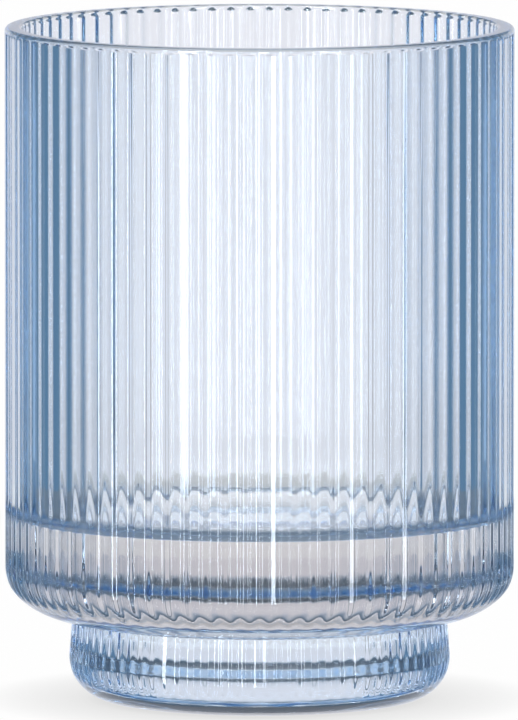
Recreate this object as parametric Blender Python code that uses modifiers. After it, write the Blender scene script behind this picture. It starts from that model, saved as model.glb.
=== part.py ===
"""A ribbed glass bud vase: a tall cup with a heavy base, bonded onto a ribbed glass foot.

The vase stands upright on the flat underside of its foot, with +Z up and the
axis of the vase on the Z axis. Sizes are in metres.
"""

from math import asin, atan2, cos, degrees, pi, radians, sin

import bpy

# Overall size
HEIGHT = 0.1855
BODY_RADIUS = 0.0700  # over the crests of the ribs
FOOT_RADIUS = 0.0524  # over the crests of the ribs
GAP = 0.0003  # clearance between neighbouring pieces

# Rim
RIM_INNER_RADIUS = 0.0652
RIM_OUTER_ROUND = 0.0010
RIM_INNER_ROUND = 0.0008

# Outside of the cup: a tight bend under the wall, then a wide one into the flat underside
BEND_TOP = 0.0365
BEND_RADIUS = 0.0112
BEND_TURN = 48.0  # degrees
SWEEP_RADIUS = 0.0215

# Inside of the cup: a slightly dished floor with a small fillet up into the wall
DISH_BOTTOM = 0.0485
DISH_RADIUS = 1.0000
CAVITY_FILLET = 0.0045

# Bond between the cup and the foot
BOND_RADIUS = 0.0500
BOND_THICKNESS = 0.0008
BOND_ROUND = 0.0003

# Foot
FOOT_TOP_ROUND = 0.0005
FOOT_WAIST_RADIUS = 0.0516
FOOT_BEND_RADIUS = 0.0117
HOLLOW_RADIUS = 0.0370
HOLLOW_DEPTH = 0.0035

# Ribs
RIB_COUNT = 80
RIB_DEPTH = 0.0007
STEPS_PER_RIB = 3
RIB_TOP_INSET = 0.0011  # below the rim
RIB_TOP_FADE = 0.0010
BODY_RIB_FULL_TURN = 30.0  # degrees round the bend where the ribs start to fade
BODY_RIB_END_TURN = 60.0
FOOT_RIB_FULL_TURN = 20.0
FOOT_RIB_END_TURN = 34.0

STEPS = RIB_COUNT * STEPS_PER_RIB
PLAIN_STEPS = 72


def clear_scene():
    """Remove every object, so that only the vase is left."""
    for obj in list(bpy.data.objects):
        bpy.data.objects.remove(obj, do_unlink=True)


def new_collection(name):
    """Add a collection to the scene."""
    collection = bpy.data.collections.new(name)
    bpy.context.scene.collection.children.link(collection)
    return collection


def glass_material(name, colour, roughness):
    """Clear tinted glass."""
    material = bpy.data.materials.new(name)
    material.use_nodes = True
    shader = material.node_tree.nodes["Principled BSDF"]
    shader.inputs["Base Color"].default_value = (*colour, 1.0)
    shader.inputs["Roughness"].default_value = roughness
    shader.inputs["IOR"].default_value = 1.5
    shader.inputs["Transmission Weight"].default_value = 1.0
    material.diffuse_color = (*colour, 1.0)
    return material


def smooth_step(value):
    """Ease from 0 to 1 as the value goes from 0 to 1."""
    value = min(max(value, 0.0), 1.0)
    return value * value * (3.0 - 2.0 * value)


def arc(centre, radius, start, end, count):
    """Points of a circular arc in the profile plane, angles in degrees."""
    points = []
    for index in range(count + 1):
        angle = radians(start + (end - start) * index / count)
        points.append((centre[0] + radius * cos(angle), centre[1] + radius * sin(angle)))
    return points


def sweep_centre():
    """Centre of the wide bend, which meets the tight one where both have the same slope."""
    reach = SWEEP_RADIUS - BEND_RADIUS
    turn = radians(BEND_TURN)
    return (BODY_RADIUS - BEND_RADIUS - reach * cos(turn), BEND_TOP + reach * sin(turn))


def body_bottom():
    """Height of the cup's flat underside."""
    return sweep_centre()[1] - SWEEP_RADIUS


def foot_top():
    """Height of the foot's flat top, under the bond."""
    return body_bottom() - 2 * GAP - BOND_THICKNESS


def dished_floor():
    """Inside of the cup from the middle of its floor out to the foot of its wall."""
    reach = RIM_INNER_RADIUS - CAVITY_FILLET
    span = DISH_RADIUS - CAVITY_FILLET
    turn = degrees(asin(reach / span))
    dish_centre = (0.0, DISH_BOTTOM + DISH_RADIUS)
    fillet_centre = (reach, dish_centre[1] - span * cos(radians(turn)))
    dish = arc(dish_centre, DISH_RADIUS, -90, turn - 90, 4)
    dish[0] = (0.0, DISH_BOTTOM)
    return dish + arc(fillet_centre, CAVITY_FILLET, turn - 90, 0, 3)[1:]


def body_profile():
    """Half section of the cup, from its outer rim down, under, and up inside."""
    rim_out = (BODY_RADIUS - RIM_OUTER_ROUND, HEIGHT - RIM_OUTER_ROUND)
    outside = arc(rim_out, RIM_OUTER_ROUND, 90, 0, 2)
    outside.append((BODY_RADIUS, HEIGHT - RIB_TOP_INSET - RIB_TOP_FADE))
    bend = arc((BODY_RADIUS - BEND_RADIUS, BEND_TOP), BEND_RADIUS, 0, -BEND_TURN, 4)
    sweep = arc(sweep_centre(), SWEEP_RADIUS, -BEND_TURN, -90, 4)[1:]
    under = [(0.0, body_bottom())]
    inside = dished_floor()
    rim_in = (RIM_INNER_RADIUS + RIM_INNER_ROUND, HEIGHT - RIM_INNER_ROUND)
    rim = arc(rim_in, RIM_INNER_ROUND, 180, 90, 1)
    return outside + bend + sweep + under + inside + rim


def foot_profile():
    """Half section of the foot, from the middle of its top, out, down and under."""
    top = foot_top()
    shoulder = (FOOT_WAIST_RADIUS - FOOT_TOP_ROUND, top - FOOT_TOP_ROUND)
    outside = [(0.0, top)] + arc(shoulder, FOOT_TOP_ROUND, 90, 0, 1)
    bend = (FOOT_RADIUS - FOOT_BEND_RADIUS, FOOT_BEND_RADIUS)
    corner = arc(bend, FOOT_BEND_RADIUS, 0, -90, 6)
    hollow = []
    for index in range(4):
        angle = pi / 2 * index / 3
        hollow.append((HOLLOW_RADIUS * max(cos(angle), 0.0), HOLLOW_DEPTH * sin(angle)))
    hollow[-1] = (0.0, HOLLOW_DEPTH)
    return outside + corner + hollow


def bond_profile():
    """Half section of the clear bond disc, from the middle of its top round."""
    bottom = foot_top() + GAP
    top = bottom + BOND_THICKNESS
    upper = (BOND_RADIUS - BOND_ROUND, top - BOND_ROUND)
    lower = (BOND_RADIUS - BOND_ROUND, bottom + BOND_ROUND)
    edge = arc(upper, BOND_ROUND, 90, 0, 1) + arc(lower, BOND_ROUND, 0, -90, 1)
    return [(0.0, top)] + edge + [(0.0, bottom)]


def turned(name, profile, steps, closed, collection):
    """Turn a half section round the Z axis with the Screw modifier."""
    edges = [(index, index + 1) for index in range(len(profile) - 1)]
    if closed:
        edges.append((len(profile) - 1, 0))
    mesh = bpy.data.meshes.new(name)
    mesh.from_pydata([(x, 0.0, z) for x, z in profile], edges, [])
    obj = bpy.data.objects.new(name, mesh)
    collection.objects.link(obj)
    screw = obj.modifiers.new("Turn", "SCREW")
    screw.axis = "Z"
    screw.angle = 2 * pi
    screw.steps = steps
    screw.render_steps = steps
    screw.use_merge_vertices = True
    screw.merge_threshold = 0.00001
    screw.use_smooth_shade = True
    return obj


def baked(obj):
    """Replace the object's mesh with the result of its modifiers."""
    graph = bpy.context.evaluated_depsgraph_get()
    mesh = bpy.data.meshes.new_from_object(obj.evaluated_get(graph))
    obj.modifiers.clear()
    obj.data = mesh
    return obj


def turn_past(height, bend_top, bend_radius):
    """How far round a bend a height lies, in degrees: 0 at its top, 90 at its bottom."""
    share = min(max((bend_top - height) / bend_radius, 0.0), 1.0)
    return degrees(asin(share))


def body_turn(height):
    """Slope of the cup's outside at a height, in degrees below upright."""
    tight = turn_past(height, BEND_TOP, BEND_RADIUS)
    if tight < BEND_TURN:
        return tight
    return turn_past(height, sweep_centre()[1], SWEEP_RADIUS)


def body_rib_strength(radius, height):
    """How strong the cup's ribs are: none at the rim, inside, or under the base."""
    wall_middle = 0.5 * (BODY_RADIUS + RIM_INNER_RADIUS)
    if radius < wall_middle and height > DISH_BOTTOM - GAP:
        return 0.0
    top = smooth_step((HEIGHT - RIB_TOP_INSET - height) / RIB_TOP_FADE)
    fade = (BODY_RIB_END_TURN - body_turn(height)) / (BODY_RIB_END_TURN - BODY_RIB_FULL_TURN)
    return top * smooth_step(fade)


def foot_rib_strength(radius, height):
    """How strong the foot's ribs are: full on its side, and fading round its bend."""
    if radius < FOOT_RADIUS - FOOT_BEND_RADIUS:
        return 0.0
    turn = turn_past(height, FOOT_BEND_RADIUS, FOOT_BEND_RADIUS)
    top = smooth_step((foot_top() - height) / FOOT_TOP_ROUND)
    return top * smooth_step((FOOT_RIB_END_TURN - turn) / (FOOT_RIB_END_TURN - FOOT_RIB_FULL_TURN))


def press_ribs(obj, strength):
    """Press the valleys between the ribs into a turned surface."""
    for vertex in obj.data.vertices:
        radius = (vertex.co.x**2 + vertex.co.y**2) ** 0.5
        amount = strength(radius, vertex.co.z)
        if amount == 0.0:
            continue
        angle = atan2(vertex.co.y, vertex.co.x)
        valley = 0.5 - 0.5 * cos(RIB_COUNT * angle)
        scale = (radius - RIB_DEPTH * amount * valley) / radius
        vertex.co.x *= scale
        vertex.co.y *= scale


def build_body(collection):
    """The cup: ribbed wall, plain rim and thick solid base in one piece of glass."""
    body = baked(turned("vase_body", body_profile(), STEPS, True, collection))
    press_ribs(body, body_rib_strength)
    body.data.materials.append(glass_material("body_glass", (0.72, 0.84, 0.95), 0.02))
    return body


def build_bond(collection):
    """The thin clear disc that holds the cup on its foot."""
    bond = turned("bond_disc", bond_profile(), PLAIN_STEPS, False, collection)
    bond.data.materials.append(glass_material("bond_resin", (0.93, 0.95, 0.96), 0.05))
    return bond


def build_foot(collection):
    """The foot: a ribbed glass puck with a shallow hollow underneath."""
    foot = baked(turned("foot", foot_profile(), STEPS, False, collection))
    press_ribs(foot, foot_rib_strength)
    foot.data.materials.append(glass_material("foot_glass", (0.74, 0.86, 0.96), 0.02))
    return foot


def main():
    clear_scene()
    collection = new_collection("glass_bud_vase")
    build_body(collection)
    build_bond(collection)
    build_foot(collection)


main()
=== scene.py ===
"""The ribbed footed glass vase, with its glass, light and camera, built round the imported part."""

import math

import bpy
import numpy as np
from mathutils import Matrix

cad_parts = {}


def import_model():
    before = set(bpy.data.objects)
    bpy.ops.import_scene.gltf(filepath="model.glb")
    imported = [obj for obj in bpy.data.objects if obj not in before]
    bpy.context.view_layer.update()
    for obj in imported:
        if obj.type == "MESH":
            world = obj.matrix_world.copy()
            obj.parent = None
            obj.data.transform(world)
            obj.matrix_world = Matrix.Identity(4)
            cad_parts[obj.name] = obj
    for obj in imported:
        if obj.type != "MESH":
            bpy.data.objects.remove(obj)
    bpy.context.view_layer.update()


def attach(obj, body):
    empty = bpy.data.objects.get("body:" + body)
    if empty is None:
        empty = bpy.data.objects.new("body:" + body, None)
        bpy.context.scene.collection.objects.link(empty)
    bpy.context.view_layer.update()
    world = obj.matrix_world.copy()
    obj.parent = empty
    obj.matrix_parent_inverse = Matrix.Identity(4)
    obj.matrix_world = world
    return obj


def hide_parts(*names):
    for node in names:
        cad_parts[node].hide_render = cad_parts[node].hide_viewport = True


# Vase, in metres, from the foot's resting plane up
HEIGHT = 0.1855
BODY_RADIUS = 0.0700
RIM_INNER_RADIUS = 0.0652
RIM_OUTER_ROUND = 0.0011
RIM_INNER_ROUND = 0.0009
RIM_INNER_BAND = 0.0020
BEND_TOP = 0.0365
BEND_RADIUS = 0.0112
BEND_TURN = 48.0
SWEEP_RADIUS = 0.0215
DISH_BOTTOM = 0.0485
DISH_RADIUS = 1.0
CAVITY_FILLET = 0.0045
BOND_RADIUS = 0.0500
FILM_GAP = 0.00004
BOND_THICKNESS = 0.0002
FOOT_RADIUS = 0.0524
FOOT_WAIST_RADIUS = 0.0516
FOOT_TOP_ROUND = 0.0004
FOOT_BEND_RADIUS = 0.0117
HOLLOW_RADIUS = 0.0370
HOLLOW_DEPTH = 0.0035
HOLLOW_STEPS = 16

# Ribs: softness 0 is a row of reeds with sharp valleys, 1 is a smooth wave
RIB_COUNT = 80
RIB_DEPTH = 0.0008
RIB_SOFTNESS = 0.6
FOOT_RIB_DEPTH = 0.0004
STEPS_PER_RIB = 12
STEPS = RIB_COUNT * STEPS_PER_RIB
AXIS_REACH = 1e-7
RIB_TOP_INSET = 0.0010
RIB_TOP_FADE = 0.0010

# Ribs are full down to one turn of the bend, in degrees, and gone at the next
BODY_RIB_FULL_TURN = 30.0
BODY_RIB_END_TURN = 60.0
FOOT_RIB_FULL_TURN = 20.0
FOOT_RIB_END_TURN = 34.0

# Camera: a long lens, a little above the rim, angles in degrees and lens in millimetres
CAMERA_PLACE = (0.0, -5.6, 0.6942)
CAMERA_TILT = 6.124
CAMERA_TURN = 0.0017
CAMERA_LENS = 1024.3
SENSOR_HEIGHT = 36.0

# Backdrop and room light, in degrees round from the backdrop and up from the table, and in brightness
BACKDROP_HALF = 36.0
BACKDROP_SOFT = 3.0
BACKDROP_LEVEL = 1.0
BACKDROP_TOP = 8.0
BACKDROP_TOP_SOFT = 7.0
ABOVE_LEVEL = 0.14
BACKDROP_COLOUR = (0.90, 0.885, 0.93, 1.0)
SIDE_COLOUR = (0.29, 0.57, 0.90, 1.0)
ABOVE_COLOUR = (0.62, 0.84, 1.10, 1.0)
FRONT_COLOUR = (0.90, 0.95, 1.0, 1.0)
SIDE_LEVEL = 0.40
FRONT_LEVEL = 0.26
TOP_LEVEL = 0.7
SIDE_END = 110.0
FRONT_START = 140.0
TOP_START = 40.0
TOP_END = 60.0
BELOW_START = -25.0
BELOW_END = -45.0
COLOUR_SIDE_END = 100.0
COLOUR_FRONT_START = 130.0
COLOUR_LOW = 20.0
COLOUR_HIGH = 40.0

# Strip lights: place round the vase, half width, lower end, upper end, brightness
STRIPS = [
    (-146.0, 2.5, -30.0, 60.0, 18.0),
    (178.0, 1.2, -30.0, 40.0, 13.0),
    (150.0, 1.8, -30.0, 50.0, 10.0),
]
STRIP_SOFT = 1.0
STRIP_END_SOFT = 3.0

# Floor, in metres and degrees. The camera sees white paper with a painted contact shadow
FLOOR_HALF_SIDE = 12.0
FLOOR_DROP = 0.0002
CONTACT_REACH = 0.03
CONTACT_SHADE = 0.72
PAPER_GRAIN = 400.0
PAPER_SPECK = 0.985

# The glass sees a table in the floor's place. It glows with painted light: a painted pool of light close to
# the vase, a painted sheen at a low angle, and painted shade, dark and blue, at the sides
TABLE_EDGE = 0.45
TABLE_NEAR = 0.085
TABLE_FAR = 0.110
TABLE_NEAR_LEVEL = 0.95
TABLE_LEVEL = 0.60
TABLE_PAINTED_SHEEN = 1.5
TABLE_SIDE_LEVEL = 0.34
TABLE_HALF = 39.0
TABLE_SIDE_SOFT = 8.0
TABLE_COLOUR = (1.01, 1.0, 1.02, 1.0)

# Material slots of a piece
COATED = 0
CLEAR = 1
BONDED = 2

# Glass: loss in the coat for a straight pass, and loss per metre in the glass, for red, green and blue
GLASS_IOR = 1.5
COAT = (0.074, 0.037, 0.010)
FOOT_COAT = (0.078, 0.042, 0.010)
COAT_FLOOR = 0.30  # the least cosine counted, so that a grazing pass isn't black
NO_COAT = (0.0, 0.0, 0.0)
CUP_SMOKE = (2.5, 3.1, 3.3)
FOOT_SMOKE = (1.5, 1.2, 0.9)
GLASS_SHADOW = (0.90, 0.94, 0.97, 1.0)
WAVE_SCALE = 60.0
WAVE_STRETCH = 0.15
WAVINESS = 0.012
WAVE_HEIGHT = 0.001
BOND_MARKS_SCALE = 90.0
BOND_TINT = (0.97, 0.98, 0.99, 1.0)
WHITE = (1.0, 1.0, 1.0, 1.0)
LIGHT_BOUNCES = 32


def smooth_step(value):
    """An even rise from 0 to 1 that starts and ends level."""
    value = np.clip(value, 0.0, 1.0)
    return value * value * (3.0 - 2.0 * value)


def arc(centre, radius, start, end, count):
    """Points round a centre from one angle in degrees to another, both ends included."""
    angle = np.radians(np.linspace(start, end, count + 1))
    return [(centre[0] + radius * math.cos(a), centre[1] + radius * math.sin(a)) for a in angle]


def line(start, end, count):
    """Points from start to end, without the first."""
    share = [(i + 1) / count for i in range(count)]
    return [(start[0] + (end[0] - start[0]) * s, start[1] + (end[1] - start[1]) * s) for s in share]


def sweep_centre():
    """Centre of the wide bend, which meets the tight one where both have the same slope."""
    reach = SWEEP_RADIUS - BEND_RADIUS
    turn = math.radians(BEND_TURN)
    return (BODY_RADIUS - BEND_RADIUS - reach * math.cos(turn), BEND_TOP + reach * math.sin(turn))


def body_bottom():
    """Height of the cup's flat underside."""
    return sweep_centre()[1] - SWEEP_RADIUS


def foot_top():
    """Height of the foot's top, under the bond and its two gaps."""
    return body_bottom() - 2 * FILM_GAP - BOND_THICKNESS


def turn_past(height, bend_top, bend_radius):
    """How far round a bend a height lies, in degrees: 0 at its top, 90 at its bottom."""
    return math.degrees(math.asin(min(max((bend_top - height) / bend_radius, 0.0), 1.0)))


def lathe(name, profile, strength, depth, zones, closed):
    """A turned mesh with ribs pressed in. Points on the axis become one vertex each.

    strength is the ribs' share of depth at each point; zones is the material slot
    of each stretch after a point; closed says whether the last point joins the first."""
    angles = 2 * math.pi * np.arange(STEPS) / STEPS
    across = 2.0 * np.mod(RIB_COUNT * np.arange(STEPS) / STEPS + 0.5, 1.0) - 1.0
    wave = 0.5 * (1.0 - np.cos(math.pi * across))
    reed = across**2
    valley = RIB_SOFTNESS * wave + (1.0 - RIB_SOFTNESS) * reed
    points = []
    rings = []
    for (radius, height), share in zip(profile, strength):
        start = len(points)
        if radius < AXIS_REACH:
            points.append((0.0, 0.0, height))
            rings.append((start, 1))
            continue
        reach = radius - depth * share * valley
        ring = np.stack([reach * np.cos(angles), reach * np.sin(angles), np.full(STEPS, height)], 1)
        points.extend(ring.tolist())
        rings.append((start, STEPS))
    faces = []
    slots = []
    pairs = list(zip(rings[:-1], rings[1:]))
    if closed:
        pairs.append((rings[-1], rings[0]))
    around = np.arange(STEPS)
    after = (around + 1) % STEPS
    for ((a, count_a), (b, count_b)), zone in zip(pairs, zones):
        if count_a == 1 and count_b == 1:
            continue
        if count_a == 1:
            made = np.stack([np.full(STEPS, a), b + around, b + after], 1)
        elif count_b == 1:
            made = np.stack([a + around, np.full(STEPS, b), a + after], 1)
        else:
            made = np.stack([a + around, b + around, b + after, a + after], 1)
        faces.extend(made.tolist())
        slots.extend([zone] * STEPS)
    mesh = bpy.data.meshes.new(name)
    mesh.from_pydata(points, [], faces)
    mesh.validate()
    mesh.update()
    mesh.polygons.foreach_set("use_smooth", [True] * len(mesh.polygons))
    mesh.polygons.foreach_set("material_index", slots)
    obj = bpy.data.objects.new(name, mesh)
    bpy.context.scene.collection.objects.link(obj)
    return obj


def body_outside():
    """Outer profile of the cup, from the rim's top down to the edge of the bonded face."""
    rim = (BODY_RADIUS - RIM_OUTER_ROUND, HEIGHT - RIM_OUTER_ROUND)
    points = arc(rim, RIM_OUTER_ROUND, 90, 0, 10)
    points += line(points[-1], (BODY_RADIUS, HEIGHT - RIB_TOP_INSET - RIB_TOP_FADE), 8)
    points += line(points[-1], (BODY_RADIUS, BEND_TOP), 4)
    bend = (BODY_RADIUS - BEND_RADIUS, BEND_TOP)
    points += arc(bend, BEND_RADIUS, 0, -BEND_TURN, 20)[1:]
    points += arc(sweep_centre(), SWEEP_RADIUS, -BEND_TURN, -90, 18)[1:]
    return points + [(BOND_RADIUS, body_bottom())]


def body_inside():
    """Inner profile of the cup, from the middle of its dished floor out and up to the rim."""
    dish_centre = DISH_BOTTOM + DISH_RADIUS
    reach = RIM_INNER_RADIUS - CAVITY_FILLET
    rise = math.sqrt((DISH_RADIUS - CAVITY_FILLET) ** 2 - reach**2)
    turn = math.degrees(math.asin(reach / (DISH_RADIUS - CAVITY_FILLET)))
    points = [(0.0, DISH_BOTTOM)] + arc((0.0, dish_centre), DISH_RADIUS, -90, turn - 90, 24)[1:]
    points += arc((reach, dish_centre - rise), CAVITY_FILLET, turn - 90, 0, 16)[1:]
    rim = (RIM_INNER_RADIUS + RIM_INNER_ROUND, HEIGHT - RIM_INNER_ROUND)
    points += line(points[-1], (RIM_INNER_RADIUS, HEIGHT - RIM_INNER_ROUND - RIM_INNER_BAND), 4)
    return points + arc(rim, RIM_INNER_ROUND, 180, 90, 8)


def body_rib_strength(height):
    """Ribs start just under the rim and fade round the bend into a smooth lower edge."""
    top = smooth_step((HEIGHT - RIB_TOP_INSET - height) / RIB_TOP_FADE)
    turn = turn_past(height, BEND_TOP, BEND_RADIUS)
    if turn > BEND_TURN:
        turn = turn_past(height, sweep_centre()[1], SWEEP_RADIUS)
    return float(top * smooth_step((BODY_RIB_END_TURN - turn) / (BODY_RIB_END_TURN - BODY_RIB_FULL_TURN)))


def foot_rib_strength(height):
    """Ribs run down the foot's side and fade round its bend."""
    turn = turn_past(height, FOOT_BEND_RADIUS, FOOT_BEND_RADIUS)
    top = smooth_step((foot_top() - height) / FOOT_TOP_ROUND)
    return float(top * smooth_step((FOOT_RIB_END_TURN - turn) / (FOOT_RIB_END_TURN - FOOT_RIB_FULL_TURN)))


def make_body():
    """The cup. Its faces take the coated glass outside, the bond under the base and clear glass inside."""
    outside = body_outside()
    inside = body_inside()
    zones = [COATED] * (len(outside) - 1) + [BONDED] + [CLEAR] * len(inside) + [COATED]
    middle = [(0.0, body_bottom())]
    strength = [body_rib_strength(height) for _, height in outside] + [0.0] * (1 + len(inside))
    return lathe("vase_body_glass", outside + middle + inside, strength, RIB_DEPTH, zones, True)


def make_foot():
    """The foot: coated outside, bonded face on top and a clear hollow underneath."""
    shoulder = (FOOT_WAIST_RADIUS - FOOT_TOP_ROUND, foot_top() - FOOT_TOP_ROUND)
    bend = (FOOT_RADIUS - FOOT_BEND_RADIUS, FOOT_BEND_RADIUS)
    side = arc(shoulder, FOOT_TOP_ROUND, 90, 0, 6)
    side += line(side[-1], (FOOT_RADIUS, FOOT_BEND_RADIUS), 6)
    side += arc(bend, FOOT_BEND_RADIUS, 0, -90, 28)[1:]
    hollow = []
    for i in range(HOLLOW_STEPS + 1):
        angle = math.pi / 2 * i / HOLLOW_STEPS
        hollow.append((HOLLOW_RADIUS * math.cos(angle), HOLLOW_DEPTH * math.sin(angle)))
    hollow[-1] = (0.0, HOLLOW_DEPTH)
    top = [(0.0, foot_top()), (BOND_RADIUS, foot_top())]
    strength = [0.0, 0.0] + [foot_rib_strength(height) for _, height in side] + [0.0] * len(hollow)
    zones = [BONDED] + [COATED] * len(side) + [CLEAR] * len(hollow)
    return lathe("foot_glass", top + side + hollow, strength, FOOT_RIB_DEPTH, zones, False)


def make_bond():
    """The thin clear layer between the cup and the foot."""
    top = body_bottom() - FILM_GAP
    bottom = top - BOND_THICKNESS
    round_off = BOND_THICKNESS / 2
    edge = arc((BOND_RADIUS - round_off, top - round_off), round_off, 90, -90, 8)
    profile = [(0.0, top)] + edge + [(0.0, bottom)]
    return lathe("bond_disc_resin", profile, [0.0] * len(profile), 0.0, [0] * len(profile), False)


class Nodes:
    """Short hand for building a node tree. An input's value is a plain value or another node's output."""

    def __init__(self, tree):
        self.tree = tree
        tree.nodes.clear()

    def add(self, kind, inputs=None, **settings):
        node = self.tree.nodes.new(kind)
        for key, value in settings.items():
            setattr(node, key, value)
        for key, value in (inputs or {}).items():
            if hasattr(value, "is_output"):
                self.tree.links.new(value, node.inputs[key])
            else:
                node.inputs[key].default_value = value
        return node

    def math(self, operation, *values):
        return self.add("ShaderNodeMath", dict(enumerate(values)), operation=operation).outputs[0]

    def smooth(self, value, start, end, low, high):
        """Level at low up to start, level at high from end on, and a smooth way between them."""
        inputs = {0: value, 1: start, 2: end, 3: low, 4: high}
        return self.add("ShaderNodeMapRange", inputs, interpolation_type="SMOOTHSTEP").outputs[0]

    def blend(self, share, first, second):
        """A number that goes from first to second as share goes from 0 to 1."""
        return self.add("ShaderNodeMix", {0: share, 2: first, 3: second}, data_type="FLOAT").outputs[0]

    def blend_colour(self, share, first, second):
        """A colour that goes from first to second as share goes from 0 to 1."""
        return self.add("ShaderNodeMix", {0: share, 6: first, 7: second}, data_type="RGBA").outputs[2]


def glass(name, coat, smoke):
    """Clear glass with a thin transparent blue coat on its outside.

    Light crosses the coat once on its way in or out, and twice where it is
    turned back inside, and its slant lengthens its way through the coat.
    The glass itself is very slightly smoky, which shows only over a long way."""
    material = bpy.data.materials.new(name)
    material.use_nodes = True
    n = Nodes(material.node_tree)
    geometry = n.add("ShaderNodeNewGeometry")
    coords = n.add("ShaderNodeTexCoord")
    stretch = {"Vector": coords.outputs["Object"], "Scale": (1.0, 1.0, WAVE_STRETCH)}
    drawn = n.add("ShaderNodeMapping", stretch)
    noise = n.add("ShaderNodeTexNoise", {"Vector": drawn.outputs[0], "Scale": WAVE_SCALE, "Detail": 2.0})
    bump = n.add(
        "ShaderNodeBump",
        {"Height": noise.outputs["Fac"], "Strength": WAVINESS, "Distance": WAVE_HEIGHT},
    )
    slant = n.add(
        "ShaderNodeVectorMath",
        {0: geometry.outputs["Normal"], 1: geometry.outputs["Incoming"]},
        operation="DOT_PRODUCT",
    )
    cosine = n.math("ABSOLUTE", slant.outputs["Value"])
    bent = n.math("DIVIDE", n.math("SUBTRACT", 1.0, n.math("MULTIPLY", cosine, cosine)), GLASS_IOR**2)
    entering = n.math("INVERSE_SQRT", n.math("SUBTRACT", 1.0, bent))
    turned_back = n.math("LESS_THAN", cosine, math.sqrt(1.0 - 1.0 / GLASS_IOR**2))
    leaving = n.math("DIVIDE", n.math("ADD", turned_back, 1.0), n.math("MAXIMUM", cosine, COAT_FLOOR))
    passes = n.blend(geometry.outputs["Backfacing"], entering, leaving)
    light_path = n.add("ShaderNodeLightPath")
    inside_way = n.math("MULTIPLY", light_path.outputs["Ray Length"], geometry.outputs["Backfacing"])
    channels = []
    for coat_loss, smoke_loss in zip(coat, smoke):
        loss = n.math("MULTIPLY_ADD", passes, coat_loss, n.math("MULTIPLY", inside_way, smoke_loss))
        channels.append(n.math("EXPONENT", n.math("MULTIPLY", loss, -1.0)))
    tint = n.add("ShaderNodeCombineColor", dict(zip(("Red", "Green", "Blue"), channels)))
    shader = n.add(
        "ShaderNodeBsdfGlass",
        {
            "Color": tint.outputs["Color"],
            "Roughness": 0.0,
            "IOR": GLASS_IOR,
            "Normal": bump.outputs["Normal"],
        },
    )
    clear = n.add("ShaderNodeBsdfTransparent", {"Color": GLASS_SHADOW})
    mix = n.add(
        "ShaderNodeMixShader",
        {0: light_path.outputs["Is Shadow Ray"], 1: shader.outputs[0], 2: clear.outputs[0]},
    )
    n.add("ShaderNodeOutputMaterial", {"Surface": mix.outputs[0]})
    return material


def bonded_face(name):
    """A face wetted by the bond: light goes straight on into the next piece, with faint uneven marks."""
    material = bpy.data.materials.new(name)
    material.use_nodes = True
    n = Nodes(material.node_tree)
    coords = n.add("ShaderNodeTexCoord")
    where = {"Vector": coords.outputs["Object"], "Scale": BOND_MARKS_SCALE, "Detail": 3.0}
    noise = n.add("ShaderNodeTexNoise", where)
    tint = n.blend_colour(noise.outputs["Fac"], BOND_TINT, WHITE)
    shader = n.add("ShaderNodeBsdfTransparent", {"Color": tint})
    n.add("ShaderNodeOutputMaterial", {"Surface": shader.outputs[0]})
    return material


def floor_light(n, aim):
    """The floor's colour, its brightness, and where the glass sees past the table, as node outputs.

    The camera sees a plain white floor with faint grain and a painted contact shadow of the vase.
    The glass sees a table that glows with painted light: a painted pool of light close to the
    vase and dimmer further out, a painted sheen at a low angle, and painted shade, dark and
    blue, outside the stretch between the vase and the backdrop."""
    coords = n.add("ShaderNodeTexCoord")
    grain = n.add("ShaderNodeTexNoise", {"Vector": coords.outputs["Object"], "Scale": PAPER_GRAIN})
    # Painted contact shadow: ambient occlusion darkens the glowing white floor close to the vase, times a
    # faint grain
    contact = n.add("ShaderNodeAmbientOcclusion", {"Distance": CONTACT_REACH}, samples=8)
    tone = n.add("ShaderNodeMapRange", {0: contact.outputs["AO"], 3: CONTACT_SHADE, 4: 1.0})
    speck = n.add("ShaderNodeMapRange", {0: grain.outputs["Fac"], 3: PAPER_SPECK, 4: 1.0})
    paper_and_painted_shadow = n.math("MULTIPLY", tone.outputs[0], speck.outputs[0])

    away = n.add("ShaderNodeVectorMath", {0: coords.outputs["Object"]}, operation="LENGTH").outputs["Value"]
    # Painted light: the table glows brighter close to the vase and dimmer further out
    near = n.smooth(away, TABLE_NEAR, TABLE_FAR, TABLE_NEAR_LEVEL, TABLE_LEVEL)
    # Painted sheen: the table glows brighter at a low angle, by the Fresnel weight
    sheen_fresnel = n.add("ShaderNodeFresnel", {"IOR": GLASS_IOR})
    sheen = n.math("MULTIPLY", n.math("POWER", sheen_fresnel.outputs[0], 2.0), TABLE_PAINTED_SHEEN)
    # Painted shade: outside the stretch between the vase and the backdrop the table glows dimmer and blue
    turned = n.add("ShaderNodeTexCoord", object=aim)
    x, y, _ = n.add("ShaderNodeSeparateXYZ", {0: turned.outputs["Object"]}).outputs
    azimuth = n.math("ABSOLUTE", n.math("ARCTAN2", x, y))
    side_start = math.radians(TABLE_HALF)
    side_end = math.radians(TABLE_HALF + TABLE_SIDE_SOFT)
    behind = n.smooth(azimuth, side_start, side_end, 1.0, TABLE_SIDE_LEVEL)
    table = n.math("MULTIPLY", n.math("MINIMUM", n.math("ADD", near, sheen), 1.0), behind)

    seen = n.add("ShaderNodeLightPath").outputs["Is Camera Ray"]
    colour = n.blend_colour(seen, n.blend_colour(behind, SIDE_COLOUR, TABLE_COLOUR), WHITE)
    strength = n.blend(seen, table, paper_and_painted_shadow)
    past_edge = n.math("GREATER_THAN", away, TABLE_EDGE)
    beyond_table = n.math("MULTIPLY", past_edge, n.math("SUBTRACT", 1.0, seen))
    return colour, strength, beyond_table


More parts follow.
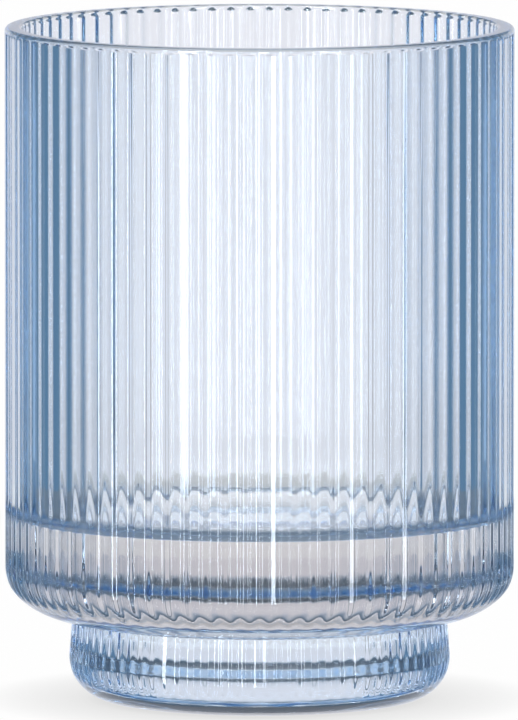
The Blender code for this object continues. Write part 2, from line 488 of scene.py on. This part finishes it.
def make_floor(aim):
    """A plain pale floor that glows: white to the camera with a painted contact shadow, and a table of
    painted light to the glass. Past the table's edge the glass sees the room through it.
    """
    mesh = bpy.data.meshes.new("floor")
    side = FLOOR_HALF_SIDE
    corners = [(-side, -side, 0), (side, -side, 0), (side, side, 0), (-side, side, 0)]
    mesh.from_pydata(corners, [], [(0, 1, 2, 3)])
    floor = bpy.data.objects.new("floor", mesh)
    bpy.context.scene.collection.objects.link(floor)
    floor.location.z = -FLOOR_DROP
    floor.visible_glossy = False
    floor.visible_diffuse = False
    material = bpy.data.materials.new("floor_paper_and_painted_light")
    material.use_nodes = True
    n = Nodes(material.node_tree)
    colour, strength, beyond_table = floor_light(n, aim)
    # The floor glows: its painted contact shadow and the table's painted light are emission
    shader = n.add("ShaderNodeEmission", {"Color": colour, "Strength": strength})
    clear = n.add("ShaderNodeBsdfTransparent")
    mix = n.add("ShaderNodeMixShader", {0: beyond_table, 1: shader.outputs[0], 2: clear.outputs[0]})
    n.add("ShaderNodeOutputMaterial", {"Surface": mix.outputs[0]})
    mesh.materials.append(material)


def make_camera():
    """Almost a parallel view, looking slightly down from in front of the vase."""
    scene = bpy.context.scene
    data = bpy.data.cameras.new("camera")
    camera = bpy.data.objects.new("camera", data)
    scene.collection.objects.link(camera)
    scene.camera = camera
    data.sensor_fit = "VERTICAL"
    data.sensor_height = SENSOR_HEIGHT
    data.lens = CAMERA_LENS
    data.clip_start = 0.1
    data.clip_end = 100.0
    camera.location = CAMERA_PLACE
    camera.rotation_euler = (math.radians(90.0 - CAMERA_TILT), 0.0, math.radians(CAMERA_TURN))
    return camera


def make_aim(camera):
    """An empty that turns with the camera, so that the light falls the same way from every side."""
    aim = bpy.data.objects.new("light_aim", None)
    bpy.context.scene.collection.objects.link(aim)
    follow = aim.constraints.new("COPY_ROTATION")
    follow.target = camera
    follow.use_x = False
    follow.use_y = False
    return aim


def make_light(aim):
    """A pale backdrop behind the vase, dim blue sides, a brighter front and top, and strip lights.

    All of it turns with the camera. The camera itself sees plain white, and only the glass shows
    the rest."""
    world = bpy.data.worlds.new("studio")
    bpy.context.scene.world = world
    world.use_nodes = True
    n = Nodes(world.node_tree)
    coords = n.add("ShaderNodeTexCoord", object=aim)
    x, y, z = n.add("ShaderNodeSeparateXYZ", {0: coords.outputs["Object"]}).outputs
    signed = n.math("ARCTAN2", x, y)  # 0 behind the vase, pi behind the camera, plus to the right
    azimuth = n.math("ABSOLUTE", signed)
    flat = n.math("POWER", n.math("ADD", n.math("MULTIPLY", x, x), n.math("MULTIPLY", y, y)), 0.5)
    rise = n.math("ARCTAN2", z, flat)

    def ramp(value, start, end, low, high):
        return n.smooth(value, math.radians(start), math.radians(end), low, high)

    def lamp(centre, half, bottom, top, power):
        """A strip light centred on an azimuth, from one height angle to another."""
        aside = n.math("ABSOLUTE", n.math("SUBTRACT", signed, math.radians(centre)))
        width = ramp(aside, half, half + STRIP_SOFT, 1.0, 0.0)
        lower = ramp(rise, bottom - STRIP_END_SOFT, bottom, 0.0, 1.0)
        upper = ramp(rise, top, top + STRIP_END_SOFT, 1.0, 0.0)
        return n.math("MULTIPLY", n.math("MULTIPLY", width, n.math("MULTIPLY", lower, upper)), power)

    backdrop_end = BACKDROP_TOP + BACKDROP_TOP_SOFT
    screen = ramp(azimuth, BACKDROP_HALF, BACKDROP_HALF + BACKDROP_SOFT, 1.0, 0.0)
    backdrop = ramp(rise, BACKDROP_TOP, backdrop_end, BACKDROP_LEVEL, ABOVE_LEVEL)
    level = n.blend(screen, SIDE_LEVEL, backdrop)
    level = n.math("ADD", level, ramp(azimuth, SIDE_END, FRONT_START, 0.0, FRONT_LEVEL))
    for strip in STRIPS:
        level = n.math("ADD", level, lamp(*strip))
    level = n.math("ADD", level, ramp(rise, TOP_START, TOP_END, 0.0, TOP_LEVEL))
    level = n.math("MAXIMUM", level, ramp(rise, BELOW_END, BELOW_START, 1.0, 0.0))

    front = ramp(azimuth, COLOUR_SIDE_END, COLOUR_FRONT_START, 0.0, 1.0)
    plain = n.math("MAXIMUM", front, ramp(rise, COLOUR_LOW, COLOUR_HIGH, 0.0, 1.0))
    around = n.blend_colour(plain, SIDE_COLOUR, FRONT_COLOUR)
    high = ramp(rise, BACKDROP_TOP, backdrop_end, 0.0, 1.0)
    screen_colour = n.blend_colour(high, BACKDROP_COLOUR, ABOVE_COLOUR)
    tone = n.blend_colour(screen, around, screen_colour)
    seen = n.add("ShaderNodeLightPath").outputs["Is Camera Ray"]
    colour = n.blend_colour(seen, tone, WHITE)
    background = n.add("ShaderNodeBackground", {"Color": colour, "Strength": n.blend(seen, level, 1.0)})
    n.add("ShaderNodeOutputWorld", {"Surface": background.outputs[0]})


def set_quality():
    """Let light pass through as many glass faces as the base needs, with its caustics."""
    scene = bpy.context.scene
    scene.view_settings.view_transform = "Standard"
    scene.cycles.max_bounces = LIGHT_BOUNCES
    scene.cycles.transmission_bounces = LIGHT_BOUNCES
    scene.cycles.glossy_bounces = LIGHT_BOUNCES
    scene.cycles.transparent_max_bounces = LIGHT_BOUNCES
    scene.cycles.caustics_refractive = True
    scene.cycles.caustics_reflective = True


def main():
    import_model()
    cup_inside = glass("cup_inner_glass", NO_COAT, CUP_SMOKE)
    foot_inside = glass("foot_inner_glass", NO_COAT, FOOT_SMOKE)
    bonded = bonded_face("bonded_glass")
    body = make_body()
    for material in (glass("body_coated_glass", COAT, CUP_SMOKE), cup_inside, bonded):
        body.data.materials.append(material)
    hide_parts("vase_body")
    foot = make_foot()
    for material in (glass("foot_coated_glass", FOOT_COAT, FOOT_SMOKE), foot_inside, bonded):
        foot.data.materials.append(material)
    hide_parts("foot")
    bond = make_bond()
    bond.data.materials.append(bonded_face("bond_resin"))
    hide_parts("bond_disc")
    for piece in (body, foot, bond):
        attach(piece, "root")
    aim = make_aim(make_camera())
    make_floor(aim)
    make_light(aim)
    set_quality()


main()
